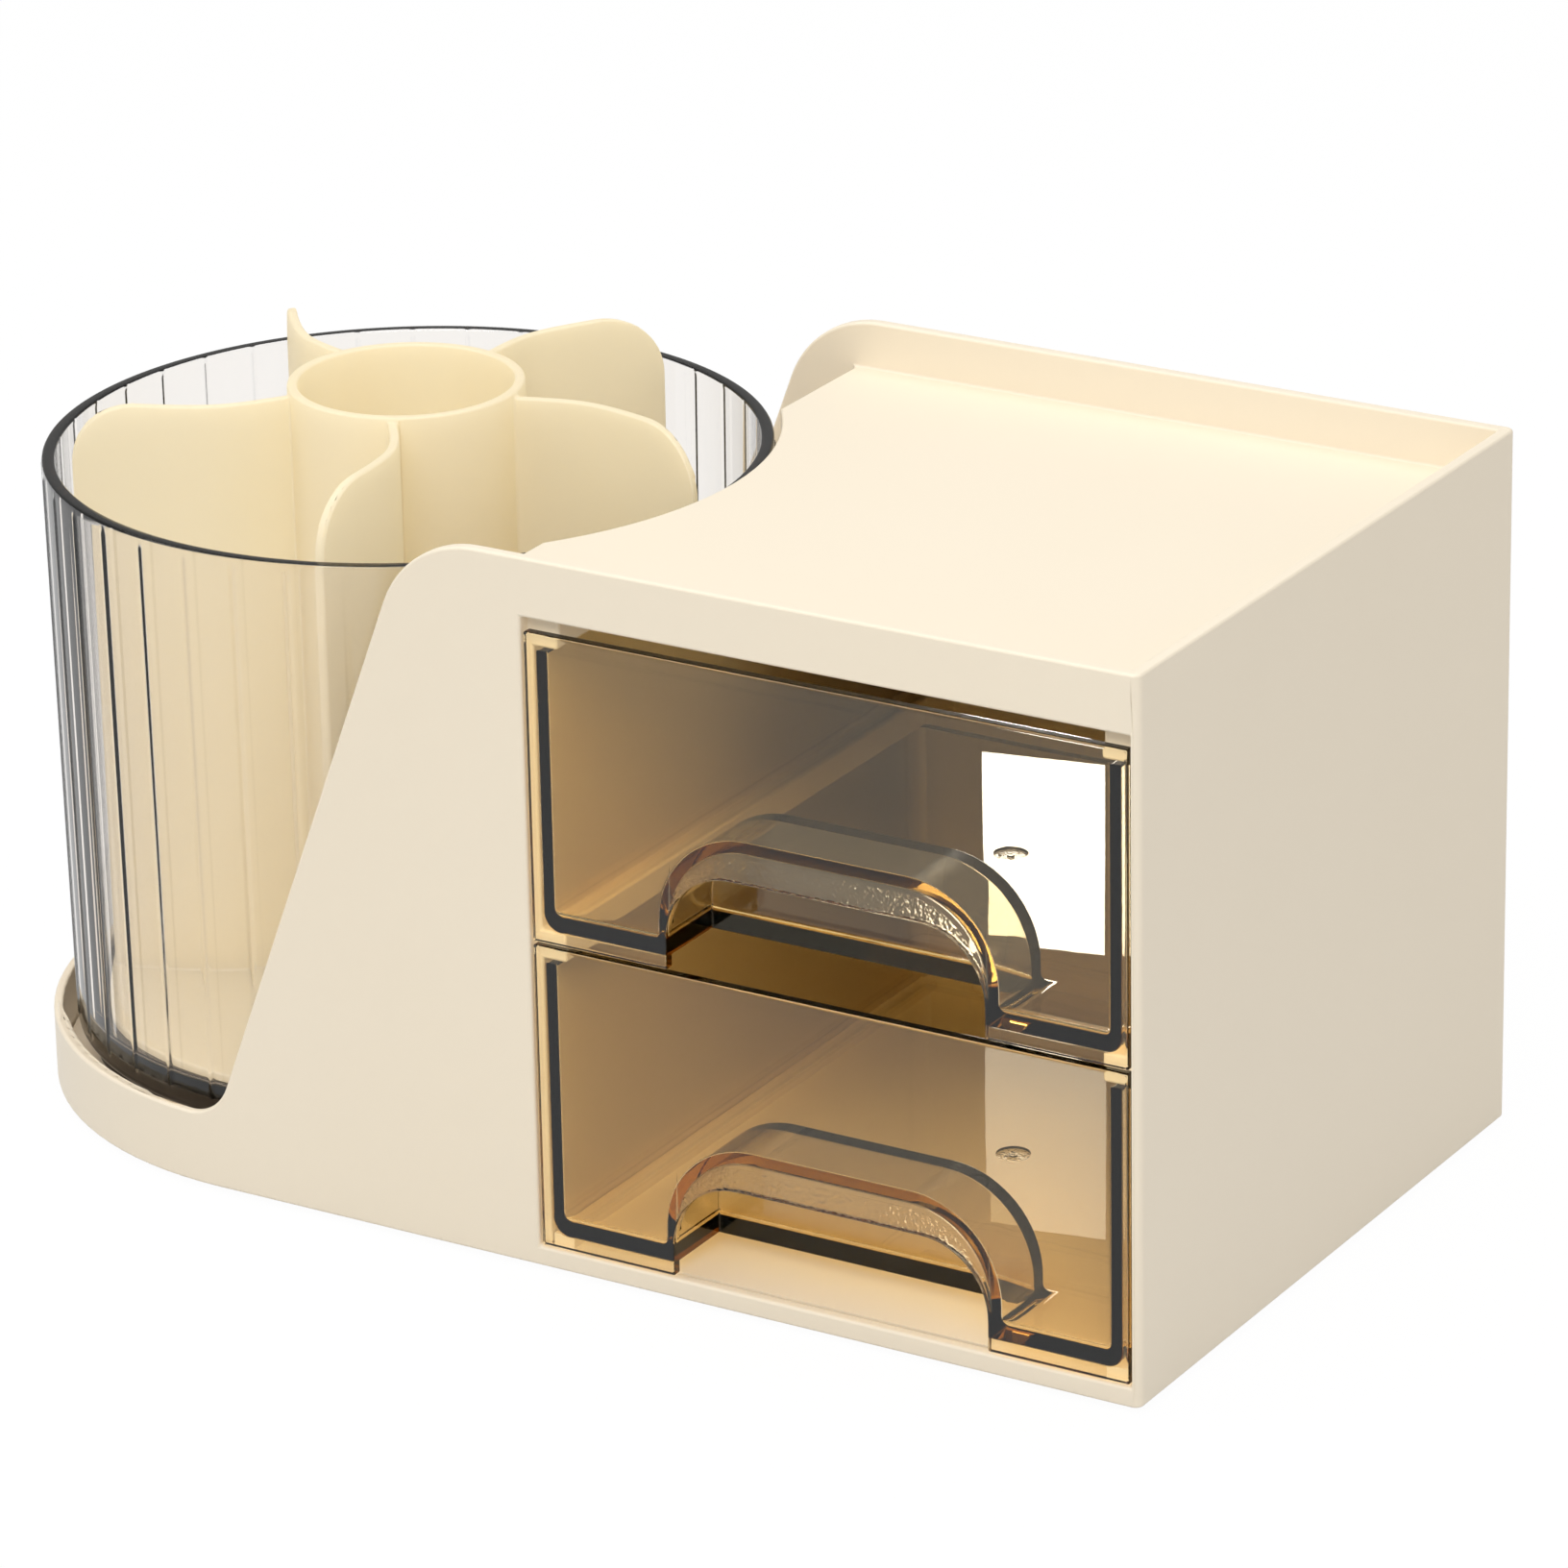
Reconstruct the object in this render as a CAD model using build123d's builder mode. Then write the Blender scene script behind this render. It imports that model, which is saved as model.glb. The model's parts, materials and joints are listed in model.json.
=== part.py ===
from build123d import *
import os
from math import cos, radians, sin

# Desk organizer: a cabinet with two clear drawers beside a turning, fluted pen cup in a round tray.
# Units are millimetres. X runs along the organizer (the cup is at -X), the drawers open towards -Y,
# and Z is up. The origin is on the surface that the feet stand on, below the middle of the outline.

# Cabinet and tray outline
overall_length = 214.2
overall_depth = 115.6
housing_height = 110.0      # from the housing's lower edge to its rim
tray_rim_height = 11.4      # from the housing's lower edge to the tray's rim
shoulder_overhang = 7.6     # cabinet's left face to the corner that the shoulder rounds
shoulder_radius = 17.0
sweep_foot_radius = 8.0     # where the cheek runs out into the tray rim
corner_radius = 1.4         # upright corners at the right
rim_round = 0.5             # both edges of the rim

# Walls
tray_wall = 1.5
lip_wall = 2.0
side_wall = 2.6             # cabinet's right wall behind the drawer fronts
rear_wall = 2.0
pocket_wall = 1.8           # between the cup's pocket and the drawer bay
deck_depth = 7.5            # the top tray, from the rim down to the deck
deck_thickness = 1.5
corner_width = 12.8         # cabinet's left face to the drawer bay
floor_height = 3.1          # housing's lower edge to the floor that the drawers and cup stand over

# Drawer bay
opening_step = 1.2          # the front opening is wider than the bay at each side
rebate_depth = 2.3          # how deep the opening takes the drawer fronts
rail_width = 4.0
rail_gap = 0.3              # a drawer's running gap over what carries it
guide_gap = 0.4             # a drawer's running gap under what keeps it level
cavity_length = 31.8        # hollow corners beside the bay, measured from the front or rear face

# Drawers
front_thickness = 1.8
front_side_gap = 0.4        # between a front and the sides of the opening
front_gap = 0.5             # between the two fronts
front_clearance = 0.3       # lower front above the floor
front_headroom = 2.1        # upper front below the deck
front_round = 0.45
drawer_side_gap = 0.8       # between a drawer's walls and the walls of the bay
drawer_rear_gap = 0.8       # between a closed drawer and the rear screw bosses
drawer_wall = 1.7
drawer_floor = 2.0
drawer_floor_lift = 1.8     # floor underside above the front's lower edge
drawer_top_drop = 3.0       # side walls below the front's upper edge
drawer_corner_radius = 3.5
drawer_floor_radius = 2.6
gate_radius = 2.6
gate_depth = 0.4

# Finger pull in each drawer
pull_width = 52.0           # inside the hood
pull_height = 20.0          # hood ceiling above the front's lower edge
pull_corner_radius = 13.0
pull_depth = 12.7           # front face to the inside of the hood's back
hood_wall = 1.6
lip_height = 15.6           # underside of the grip lip above the front's lower edge
lip_corner_radius = 10.8
pull_overrun = 1.0          # cuts run out below the front's lower edge

# Pen cup
cup_side_gap = 1.2          # between the cup's rim and its pocket
cup_draft = 1.0             # the cup's radius grows by this much from its base to its rim
cup_wall = 2.0
cup_floor = 2.0
cup_rim_drop = 9.8          # cup's rim below the housing's rim
cup_skirt_drop = 2.7        # wall below the underside of the cup's floor
cup_base_round = 1.2
flute_count = 40
flute_width = 1.6
flute_height = 0.35
flute_end_gap = 1.2         # flutes stop short of the rim and of the base edge
flute_first_angle = 7.0     # degrees, from +X

# Divider insert
tube_radius = 17.9
tube_wall = 1.6
blade_count = 5
blade_thickness = 1.4
blade_drop = 0.8            # blade tops below the tube's rim
blade_side_gap = 1.6        # between the blades' outer edges and the cup's wall at its base
blade_corner_radius = 10.0
blade_first_angle = 8.5     # degrees, from +X
blade_bow_out = 1.35        # how far a blade bows to one side near the tube
blade_bow_back = 7.9        # how far its outer edge trails to the other side
insert_floor = 1.5
insert_side_gap = 0.9       # between the insert's floor and the cup's wall at its base
insert_gap = 0.3            # between the insert's floor and the cup's

# Turning gear under the cup
plate_thickness = 2.1
plate_gap = 0.3
post_radius = 5.0
running_gap = 0.1
post_step = 0.3             # the post stands this much above the ledge it retains
hub_thickness = 3.1         # turntable's underside to that ledge
hub_wall = 3.0
turntable_thickness = 2.0
cup_floor_gap = 0.4         # between the pivot screw's head and the cup's floor
turntable_fit = 0.3         # turntable's edge inside the cup's skirt
turntable_skirt = 2.0
race_inset = 15.8           # turntable's edge to the middle of the ball race
race_width = 8.0
race_depth = 0.5
ball_radius = 1.6
ball_gap = 0.3
ball_count = 12
cage_thickness = 1.2
cage_width = 6.0
cage_gap = 0.15

# Fasteners and feet
washer_radius = 8.0
washer_thickness = 0.8
washer_gap = 1.0
screw_head_radius = 2.4
screw_head_height = 1.4
screw_head_round = 0.5
screw_shank_radius = 1.5
screw_length = 8.0
screw_end_gap = 0.5
screw_bore_gap = 0.05
slot_length = 2.8           # cross recess in the screw heads
slot_width = 0.7
slot_depth = 0.7
base_screw_head_height = 1.2
base_hole_radius = 1.9
boss_height = 14.0
rear_boss_radius = 3.0
boss_overlap = 0.6          # front and rear corner bosses run into the walls beside them
rear_boss_overlap = 0.2
cavity_screw_inset = 11.1   # screws in the hollow corners, from the front and rear faces
rear_screw_left_inset = 12.0
rear_screw_right_inset = 6.0
foot_radius = 5.0
foot_height = 1.0           # how far the feet stand below the housing's lower edge
foot_recess = 0.4
foot_chamfer = 0.4
foot_inset = 11.0
rear_foot_inset = 15.0      # the rear right foot keeps clear of a base screw
tray_foot_inset = 17.6      # tray's left end to the two feet under the tray
tray_foot_spread = 24.8     # those two feet in front of and behind the cup's axis

# Places that follow from the sizes above
x_right = overall_length / 2
x_left = -x_right
y_front = -overall_depth / 2
y_rear = overall_depth / 2
tray_radius = overall_depth / 2
pocket_radius = tray_radius - tray_wall
x_axis = x_left + tray_radius
x_bay_left = x_axis + pocket_radius + pocket_wall
x_bay_right = x_right - side_wall
x_bay_middle = (x_bay_left + x_bay_right) / 2
x_cabinet = x_bay_left - corner_width
y_bay_front = y_front + rebate_depth
y_bay_rear = y_rear - rear_wall
z_base = foot_height
z_top = z_base + housing_height
z_rim = z_base + tray_rim_height
z_floor = z_base + floor_height
z_deck = z_top - deck_depth
z_ceiling = z_deck - deck_thickness

# Screw and foot places
cavity_width = corner_width - 2 * pocket_wall
cavity_boss_radius = cavity_width / 2 + boss_overlap
cavity_middle = (x_cabinet + x_bay_left) / 2
cavity_screw_y = y_rear - cavity_screw_inset
rear_screw_y = y_bay_rear - rear_boss_radius + rear_boss_overlap
base_screw_places = [
    (cavity_middle, -cavity_screw_y),
    (cavity_middle, cavity_screw_y),
    (x_bay_left + rear_screw_left_inset, rear_screw_y),
    (x_bay_right - rear_screw_right_inset, rear_screw_y),
]
foot_places = [
    (x_right - foot_inset, y_front + foot_inset),
    (x_right - foot_inset, y_rear - rear_foot_inset),
    (x_cabinet - foot_inset, y_front + foot_inset),
    (x_cabinet - foot_inset, y_rear - foot_inset),
    (x_left + tray_foot_inset, -tray_foot_spread),
    (x_left + tray_foot_inset, tray_foot_spread),
]

# Drawers and the rails that carry them
opening_width = x_bay_right - x_bay_left + 2 * opening_step
front_width = opening_width - 2 * front_side_gap
front_height = (z_ceiling - z_floor - front_clearance - front_gap - front_headroom) / 2
drawer_box_width = x_bay_right - x_bay_left - 2 * drawer_side_gap
drawer_box_top = front_height - drawer_top_drop
y_box_front = y_front + front_thickness
y_box_rear = rear_screw_y - rear_boss_radius - drawer_rear_gap
z_lower_front = z_floor + front_clearance
z_upper_front = z_lower_front + front_height + front_gap
z_rail_top = z_upper_front + drawer_floor_lift - rail_gap
z_rail_bottom = z_lower_front + drawer_box_top + guide_gap
z_guide_bottom = z_upper_front + drawer_box_top + guide_gap
z_runner_top = z_lower_front + drawer_floor_lift - rail_gap

# Turning gear, cup and insert, from the floor up
z_plate = z_floor - plate_thickness
z_ball = z_floor + ball_radius + ball_gap - race_depth
z_turntable = z_ball + ball_radius + ball_gap - race_depth
z_ledge = z_turntable + hub_thickness
z_post_top = z_ledge + post_step
z_cup_seat = z_post_top + washer_thickness + screw_head_height + cup_floor_gap
z_cup_floor = z_cup_seat + cup_floor
z_cup_base = z_cup_seat - cup_skirt_drop
z_cup_rim = z_top - cup_rim_drop
z_insert = z_cup_floor + insert_gap
cup_rim_radius = pocket_radius - cup_side_gap
cup_base_radius = cup_rim_radius - cup_draft
turntable_radius = cup_base_radius - cup_wall - turntable_fit
race_radius = turntable_radius - race_inset
recess_radius = washer_radius + washer_gap
hub_radius = recess_radius + hub_wall
blade_reach = cup_base_radius - cup_wall - blade_side_gap
insert_floor_radius = cup_base_radius - cup_wall - insert_side_gap

os.makedirs("parts", exist_ok=True)


def save(piece, name):
    piece.part.label = name
    export_step(piece.part, f"parts/{name}.step")


def round_ended_outline(end_radius, half_depth, x_end):
    """A circle about the cup's axis joined to a block that runs to x_end, in the open sketch."""
    with Locations((x_axis, 0)):
        Circle(end_radius)
    with Locations(((x_axis + x_end) / 2, 0)):
        Rectangle(x_end - x_axis, 2 * half_depth)


# Housing: cabinet shell, swept cheeks and round tray wall in one moulding, open below
with BuildPart() as housing:
    with BuildSketch(Plane.XZ.offset(-overall_depth / 2)):
        with BuildLine():
            Polyline(
                (x_left, z_base),
                (x_right, z_base),
                (x_right, z_top),
                (x_cabinet - shoulder_overhang, z_top),
                (x_axis, z_rim),
                (x_left, z_rim),
                close=True,
            )
        make_face()
        upper_left = vertices().group_by(Axis.Y)[-1].sort_by(Axis.X)[0]
        fillet(upper_left, shoulder_radius)
        sweep_foot = vertices().filter_by(lambda v: abs(v.X - x_axis) < 0.01)
        fillet(sweep_foot, sweep_foot_radius)
    extrude(amount=overall_depth)
    with BuildSketch(Plane.XY.offset(z_base)) as plan:
        round_ended_outline(tray_radius, tray_radius, x_right)
        right_corners = plan.vertices().group_by(Axis.X)[-1]
        fillet(right_corners, corner_radius)
    extrude(amount=housing_height, mode=Mode.INTERSECT)

    # cup space: the tray with cheeks that thicken towards the cabinet, and the pocket in its left wall
    with BuildSketch(Plane.XY.offset(z_floor)):
        with Locations((x_axis, 0)):
            Circle(pocket_radius)
        with BuildLine():
            Polyline(
                (x_axis, -pocket_radius),
                (x_cabinet, lip_wall - y_rear),
                (x_cabinet, y_rear - lip_wall),
                (x_axis, pocket_radius),
                close=True,
            )
        make_face()
    extrude(amount=housing_height, mode=Mode.SUBTRACT)

    # bed of the base plate
    with BuildSketch(Plane.XY.offset(z_base)):
        round_ended_outline(pocket_radius, y_bay_rear, x_right - lip_wall)
    extrude(amount=floor_height, mode=Mode.SUBTRACT)

    # top tray over the drawers, open towards the cup
    with BuildSketch(Plane.XY.offset(z_deck)):
        with Locations(((x_cabinet + x_right - lip_wall) / 2, 0)):
            Rectangle(x_right - lip_wall - x_cabinet, overall_depth - 2 * lip_wall)
    extrude(amount=deck_depth, mode=Mode.SUBTRACT)

    # drawer bay, then the wider opening that takes the fronts
    with BuildSketch(Plane.XY.offset(z_floor)):
        with Locations(((x_bay_left + x_bay_right) / 2, (y_bay_front + y_bay_rear) / 2)):
            Rectangle(x_bay_right - x_bay_left, y_bay_rear - y_bay_front)
    extrude(amount=z_ceiling - z_floor, mode=Mode.SUBTRACT)
    with BuildSketch(Plane.XZ.offset(-y_bay_front)):
        with Locations((x_bay_middle, (z_floor + z_ceiling) / 2)):
            Rectangle(opening_width, z_ceiling - z_floor)
    extrude(amount=rebate_depth, mode=Mode.SUBTRACT)

    # hollow corners between the bay, the cheeks and the pocket
    for side in (-1, 1):
        with BuildSketch(Plane.XY.offset(z_floor)):
            with Locations((cavity_middle, side * (y_rear - (lip_wall + cavity_length) / 2))):
                Rectangle(cavity_width, cavity_length - lip_wall)
            with Locations((x_axis, 0)):
                Circle(pocket_radius + pocket_wall, mode=Mode.SUBTRACT)
        extrude(amount=z_ceiling - z_floor, mode=Mode.SUBTRACT)

    # rails between the drawers and guides under the deck, on both walls of the bay
    rail_length = y_bay_rear - y_bay_front
    for rail_x in (x_bay_left + rail_width / 2, x_bay_right - rail_width / 2):
        with BuildSketch(Plane.XZ.offset(-y_bay_rear)):
            with Locations((rail_x, (z_rail_bottom + z_rail_top) / 2)):
                Rectangle(rail_width, z_rail_top - z_rail_bottom)
            with Locations((rail_x, (z_guide_bottom + z_ceiling) / 2)):
                Rectangle(rail_width, z_ceiling - z_guide_bottom)
        extrude(amount=rail_length)

    # screw bosses over the base plate
    for number, (boss_x, boss_y) in enumerate(base_screw_places):
        boss_radius = cavity_boss_radius if number < 2 else rear_boss_radius
        with BuildSketch(Plane.XY.offset(z_floor)):
            with Locations((boss_x, boss_y)):
                Circle(boss_radius)
        extrude(amount=boss_height)
        with BuildSketch(Plane.XY.offset(z_floor)):
            with Locations((boss_x, boss_y)):
                Circle(screw_shank_radius + screw_bore_gap)
        extrude(amount=screw_length, mode=Mode.SUBTRACT)

    # the rim's edges: along the top, down the cheeks and round the tray
    rim_faces = housing.faces().filter_by(
        lambda f: f.normal_at().Z > 0.3
        and f.center().Z > z_rim - 0.01
        and (
            abs(f.center().Y) > y_bay_rear
            or abs(f.center().Z - z_top) < 0.01
            or abs(f.center().Z - z_rim) < 0.01
        )
    )
    rim_edges = rim_faces.edges()
    fillet(rim_edges.filter_by(lambda e: sum(e.is_same(other) for other in rim_edges) == 1), rim_round)
save(housing, "housing")

# Base plate: closes the housing from below and carries the post, the ball race and the lower runners
with BuildPart() as base_plate:
    with BuildSketch(Plane.XY.offset(z_plate)):
        plate_end = x_right - lip_wall - plate_gap
        round_ended_outline(pocket_radius - plate_gap, y_bay_rear - plate_gap, plate_end)
    extrude(amount=plate_thickness)
    runner_end = rear_screw_y - rear_boss_radius
    for runner_x in (x_bay_left + rail_width / 2, x_bay_right - rail_width / 2):
        with BuildSketch(Plane.XY.offset(z_floor)):
            with Locations((runner_x, (y_bay_front + runner_end) / 2)):
                Rectangle(rail_width - 2 * plate_gap, runner_end - y_bay_front - 2 * plate_gap)
        extrude(amount=z_runner_top - z_floor)
    with BuildSketch(Plane.XY.offset(z_floor)):
        with Locations((x_axis, 0)):
            Circle(post_radius)
    extrude(amount=z_post_top - z_floor)
    with BuildSketch(Plane.XY.offset(z_plate)):
        with Locations((x_axis, 0)):
            Circle(screw_shank_radius + screw_bore_gap)
        with Locations(*base_screw_places):
            Circle(base_hole_radius)
    extrude(amount=z_post_top, mode=Mode.SUBTRACT)
    with BuildSketch(Plane.XY.offset(z_plate)):
        with Locations(*foot_places):
            Circle(foot_radius)
    extrude(amount=foot_recess, mode=Mode.SUBTRACT)
    with BuildSketch(Plane.XZ):
        with Locations((x_axis + race_radius, z_ball)):
            Circle(ball_radius + ball_gap)
    revolve(axis=Axis((x_axis, 0, 0), (0, 0, 1)), mode=Mode.SUBTRACT)
save(base_plate, "base_plate")

# Feet: rubber pads let into the base plate
for number, (foot_x, foot_y) in enumerate(foot_places, start=1):
    with BuildPart() as foot:
        with BuildSketch(Plane.XY):
            with Locations((foot_x, foot_y)):
                Circle(foot_radius)
        extrude(amount=z_plate + foot_recess)
        chamfer(foot.edges().group_by(Axis.Z)[0], foot_chamfer)
    save(foot, f"foot_{number}")

# Screws that hold the base plate up against the bosses
for number, (screw_x, screw_y) in enumerate(base_screw_places, start=1):
    with BuildPart() as base_screw:
        with BuildSketch(Plane.XY.offset(z_plate - base_screw_head_height)):
            with Locations((screw_x, screw_y)):
                Circle(screw_head_radius)
        extrude(amount=base_screw_head_height)
        fillet(base_screw.edges().group_by(Axis.Z)[0], screw_head_round)
        with BuildSketch(Plane.XY.offset(z_plate)):
            with Locations((screw_x, screw_y)):
                Circle(screw_shank_radius)
        extrude(amount=plate_thickness + screw_length - screw_end_gap)
        with BuildSketch(Plane.XY.offset(z_plate - base_screw_head_height)):
            with Locations((screw_x, screw_y)):
                Rectangle(slot_length, slot_width)
                Rectangle(slot_width, slot_length)
        extrude(amount=slot_depth, mode=Mode.SUBTRACT)
    save(base_screw, f"base_screw_{number}")

# Washer and screw that hold the turntable down on the post
with BuildPart() as pivot_washer:
    with BuildSketch(Plane.XY.offset(z_post_top)):
        with Locations((x_axis, 0)):
            Circle(washer_radius)
            Circle(screw_shank_radius + screw_bore_gap, mode=Mode.SUBTRACT)
    extrude(amount=washer_thickness)
save(pivot_washer, "pivot_washer")

with BuildPart() as pivot_screw:
    with BuildSketch(Plane.XY.offset(z_plate + screw_end_gap)):
        with Locations((x_axis, 0)):
            Circle(screw_shank_radius)
    extrude(amount=z_post_top + washer_thickness - z_plate - screw_end_gap)
    with BuildSketch(Plane.XY.offset(z_post_top + washer_thickness)):
        with Locations((x_axis, 0)):
            Circle(screw_head_radius)
    extrude(amount=screw_head_height)
    fillet(pivot_screw.edges().group_by(Axis.Z)[-1], screw_head_round)
    with BuildSketch(Plane.XY.offset(z_post_top + washer_thickness + screw_head_height)):
        with Locations((x_axis, 0)):
            Rectangle(slot_length, slot_width)
            Rectangle(slot_width, slot_length)
    extrude(amount=-slot_depth, mode=Mode.SUBTRACT)
save(pivot_screw, "pivot_screw")

# Balls and the ring that spaces them
with BuildPart() as ball_cage:
    with BuildSketch(Plane.XY.offset(z_ball - cage_thickness / 2)):
        with Locations((x_axis, 0)):
            Circle(race_radius + cage_width / 2)
            Circle(race_radius - cage_width / 2, mode=Mode.SUBTRACT)
            with PolarLocations(race_radius, ball_count):
                Circle(ball_radius + cage_gap, mode=Mode.SUBTRACT)
    extrude(amount=cage_thickness)
save(ball_cage, "ball_cage")

for number in range(ball_count):
    turn = radians(360 / ball_count * number)
    with BuildPart() as ball:
        with Locations((x_axis + race_radius * cos(turn), race_radius * sin(turn), z_ball)):
            Sphere(ball_radius)
    save(ball, f"ball_{number + 1}")

# Turntable: the disc that the cup's skirt drops over
with BuildPart() as turntable:
    turntable_plate = z_cup_seat - turntable_thickness
    with BuildSketch(Plane.XZ):
        with BuildLine(Plane.XZ):
            Polyline(
                (x_axis + post_radius + running_gap, z_turntable),
                (x_axis + hub_radius, z_turntable),
                (x_axis + hub_radius, turntable_plate),
                (x_axis + race_radius - race_width / 2, turntable_plate),
                (x_axis + race_radius - race_width / 2, z_turntable),
                (x_axis + race_radius + race_width / 2, z_turntable),
                (x_axis + race_radius + race_width / 2, turntable_plate),
                (x_axis + turntable_radius - turntable_skirt, turntable_plate),
                (x_axis + turntable_radius - turntable_skirt, z_turntable),
                (x_axis + turntable_radius, z_turntable),
                (x_axis + turntable_radius, z_cup_seat),
                (x_axis + recess_radius, z_cup_seat),
                (x_axis + recess_radius, z_ledge),
                (x_axis + post_radius + running_gap, z_ledge),
                close=True,
            )
        make_face()
    revolve(axis=Axis((x_axis, 0, 0), (0, 0, 1)))
    with BuildSketch(Plane.XZ):
        with Locations((x_axis + race_radius, z_ball)):
            Circle(ball_radius + ball_gap)
    revolve(axis=Axis((x_axis, 0, 0), (0, 0, 1)), mode=Mode.SUBTRACT)
save(turntable, "turntable")

# Pen cup: a clear tapering wall with upright flutes, a floor and a skirt over the turntable
cup_height = z_cup_rim - z_cup_base
cup_taper = (cup_rim_radius - cup_base_radius) / cup_height
z_flute_start = z_cup_base + cup_base_round + flute_end_gap
z_flute_end = z_cup_rim - flute_end_gap
flute_inset = flute_width / 2 - flute_height
with BuildPart() as flute:
    with BuildSketch(Plane.XY.offset(z_flute_start)):
        with Locations((cup_base_radius + cup_taper * (z_flute_start - z_cup_base) - flute_inset, 0)):
            Circle(flute_width / 2)
    with BuildSketch(Plane.XY.offset(z_flute_end)):
        with Locations((cup_base_radius + cup_taper * (z_flute_end - z_cup_base) - flute_inset, 0)):
            Circle(flute_width / 2)
    loft()

with BuildPart() as pen_cup:
    with BuildSketch(Plane.XZ):
        with BuildLine(Plane.XZ):
            Polyline(
                (x_axis, z_cup_seat),
                (x_axis + cup_base_radius - cup_wall, z_cup_seat),
                (x_axis + cup_base_radius - cup_wall, z_cup_base),
                (x_axis + cup_base_radius, z_cup_base),
                (x_axis + cup_rim_radius, z_cup_rim),
                (x_axis + cup_rim_radius - cup_wall, z_cup_rim),
                (x_axis + cup_base_radius + cup_taper * (z_cup_floor - z_cup_base) - cup_wall, z_cup_floor),
                (x_axis, z_cup_floor),
                close=True,
            )
        make_face()
    revolve(axis=Axis((x_axis, 0, 0), (0, 0, 1)))
    base_edge = pen_cup.edges().filter_by(GeomType.CIRCLE).group_by(Axis.Z)[0].sort_by(SortBy.RADIUS)[-1]
    fillet(base_edge, cup_base_round)
    with Locations((x_axis, 0)):
        with PolarLocations(0, flute_count, start_angle=flute_first_angle):
            add(flute.part)
save(pen_cup, "pen_cup")

# Divider insert: a tube with trailing S-shaped blades on a round floor, which lifts out of the cup
with BuildPart() as divider_insert:
    for number in range(blade_count):
        turn = radians(blade_first_angle + 360 / blade_count * number)
        blade_plane = Plane((x_axis, 0, z_insert), x_dir=(cos(turn), sin(turn), 0), z_dir=(0, 0, 1))
        with BuildSketch(blade_plane):
            with BuildLine():
                blade_span = blade_reach + blade_thickness - tube_radius
                Spline(
                    (tube_radius - tube_wall / 2, 0),
                    (tube_radius + 0.16 * blade_span, 0.8 * blade_bow_out),
                    (tube_radius + 0.3 * blade_span, blade_bow_out),
                    (tube_radius + 0.52 * blade_span, -0.06 * blade_bow_back),
                    (tube_radius + 0.78 * blade_span, -0.55 * blade_bow_back),
                    (tube_radius + blade_span, -blade_bow_back),
                )
            trace(line_width=blade_thickness)
        extrude(amount=z_top - blade_drop - z_insert)
    with BuildSketch(Plane.XZ):
        with Locations((x_axis + blade_reach / 2, (z_insert + z_top - blade_drop) / 2)):
            Rectangle(blade_reach, z_top - blade_drop - z_insert)
        outer_top = vertices().group_by(Axis.Y)[-1].sort_by(Axis.X)[-1]
        fillet(outer_top, blade_corner_radius)
    revolve(axis=Axis((x_axis, 0, 0), (0, 0, 1)), mode=Mode.INTERSECT)
    with BuildSketch(Plane.XY.offset(z_insert)):
        with Locations((x_axis, 0)):
            Circle(tube_radius)
    extrude(amount=z_top - z_insert)
    with BuildSketch(Plane.XY.offset(z_insert)):
        with Locations((x_axis, 0)):
            Circle(insert_floor_radius)
    extrude(amount=insert_floor)
    with BuildSketch(Plane.XY.offset(z_insert + insert_floor)):
        with Locations((x_axis, 0)):
            Circle(tube_radius - tube_wall)
    extrude(amount=z_top - z_insert, mode=Mode.SUBTRACT)
save(divider_insert, "divider_insert")


def pull_outline(z_lower_edge, width, height, radius):
    """The finger pull's arch on the drawer's front, from below the front's lower edge up."""
    with Locations((x_bay_middle, z_lower_edge + height / 2)):
        Rectangle(width, height)
    upper_corners = vertices().group_by(Axis.Y)[-1]
    fillet(upper_corners, radius)


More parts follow.
